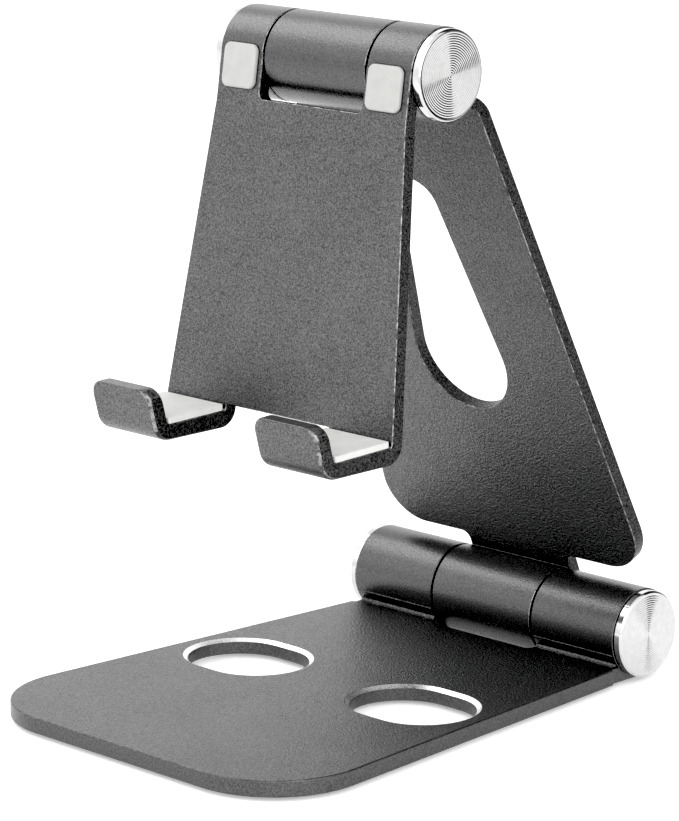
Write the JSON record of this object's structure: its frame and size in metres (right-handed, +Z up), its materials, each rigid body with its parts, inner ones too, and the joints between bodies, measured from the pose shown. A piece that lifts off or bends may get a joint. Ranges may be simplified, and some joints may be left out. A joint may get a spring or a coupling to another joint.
{
  "type": "folding phone stand",
  "caption": "Folding desk stand: flat base with oval openings, leaning arm on a friction hinge, and a tilting holder with soft pads and front hooks for a phone.",
  "frame": {"origin": "middle of the stand's outer box at the level of the desk, which is the underside of the feet", "axes": "+X along both hinges towards the right-hand end caps, -Y towards the front edge of the base, +Z up"},
  "size_m": [0.0932, 0.1316, 0.1494],
  "materials": {
    "base_metal": "dark grey anodised, fine bead-blasted grain, bright chamfers round the oval openings",
    "arm_metal": "dark grey anodised, fine bead-blasted grain",
    "holder_metal": "dark grey anodised, fine bead-blasted grain",
    "cap_metal": "bright turned end face with fine concentric lines",
    "zinc_steel": "zinc plated",
    "spring_steel": "dull spring steel",
    "friction_nylon": "smooth white nylon",
    "pad_silicone": "pale warm grey matt silicone",
    "foot_silicone": "dark matt silicone"
  },
  "bodies": {
    "base": {"base_plate": "base_metal", "foot_front_left": "foot_silicone", "foot_front_right": "foot_silicone", "foot_rear_left": "foot_silicone", "foot_rear_right": "foot_silicone", "lower_hinge_bolt": "zinc_steel", "lower_lock_nut": "zinc_steel", "lower_spring_washer": "spring_steel", "lower_plain_washer_left": "zinc_steel", "lower_plain_washer_right": "zinc_steel", "lower_friction_washer_left": "friction_nylon", "lower_friction_washer_right": "friction_nylon", "lower_cap_left": "cap_metal", "lower_cap_right": "cap_metal"},
    "arm": {"support_arm": "arm_metal"},
    "holder": {"device_holder": "holder_metal", "top_pad_left": "pad_silicone", "top_pad_right": "pad_silicone", "hook_pad_left": "pad_silicone", "hook_pad_right": "pad_silicone", "upper_hinge_bolt": "zinc_steel", "upper_lock_nut": "zinc_steel", "upper_spring_washer": "spring_steel", "upper_plain_washer_left": "zinc_steel", "upper_plain_washer_right": "zinc_steel", "upper_friction_washer_left": "friction_nylon", "upper_friction_washer_right": "friction_nylon", "upper_cap_left": "cap_metal", "upper_cap_right": "cap_metal"}
  },
  "joints": [
    {"name": "arm_fold", "type": "hinge", "parent": "base", "child": "arm", "pos_m": [0, 0.05585, 0.0107], "axis": [1, 0, 0], "range_deg": [-112, 30]},
    {"name": "holder_tilt", "type": "hinge", "parent": "arm", "child": "holder", "pos_m": [0, 0.00245, 0.13936], "axis": [1, 0, 0], "range_deg": [-150, 38]}
  ]
}
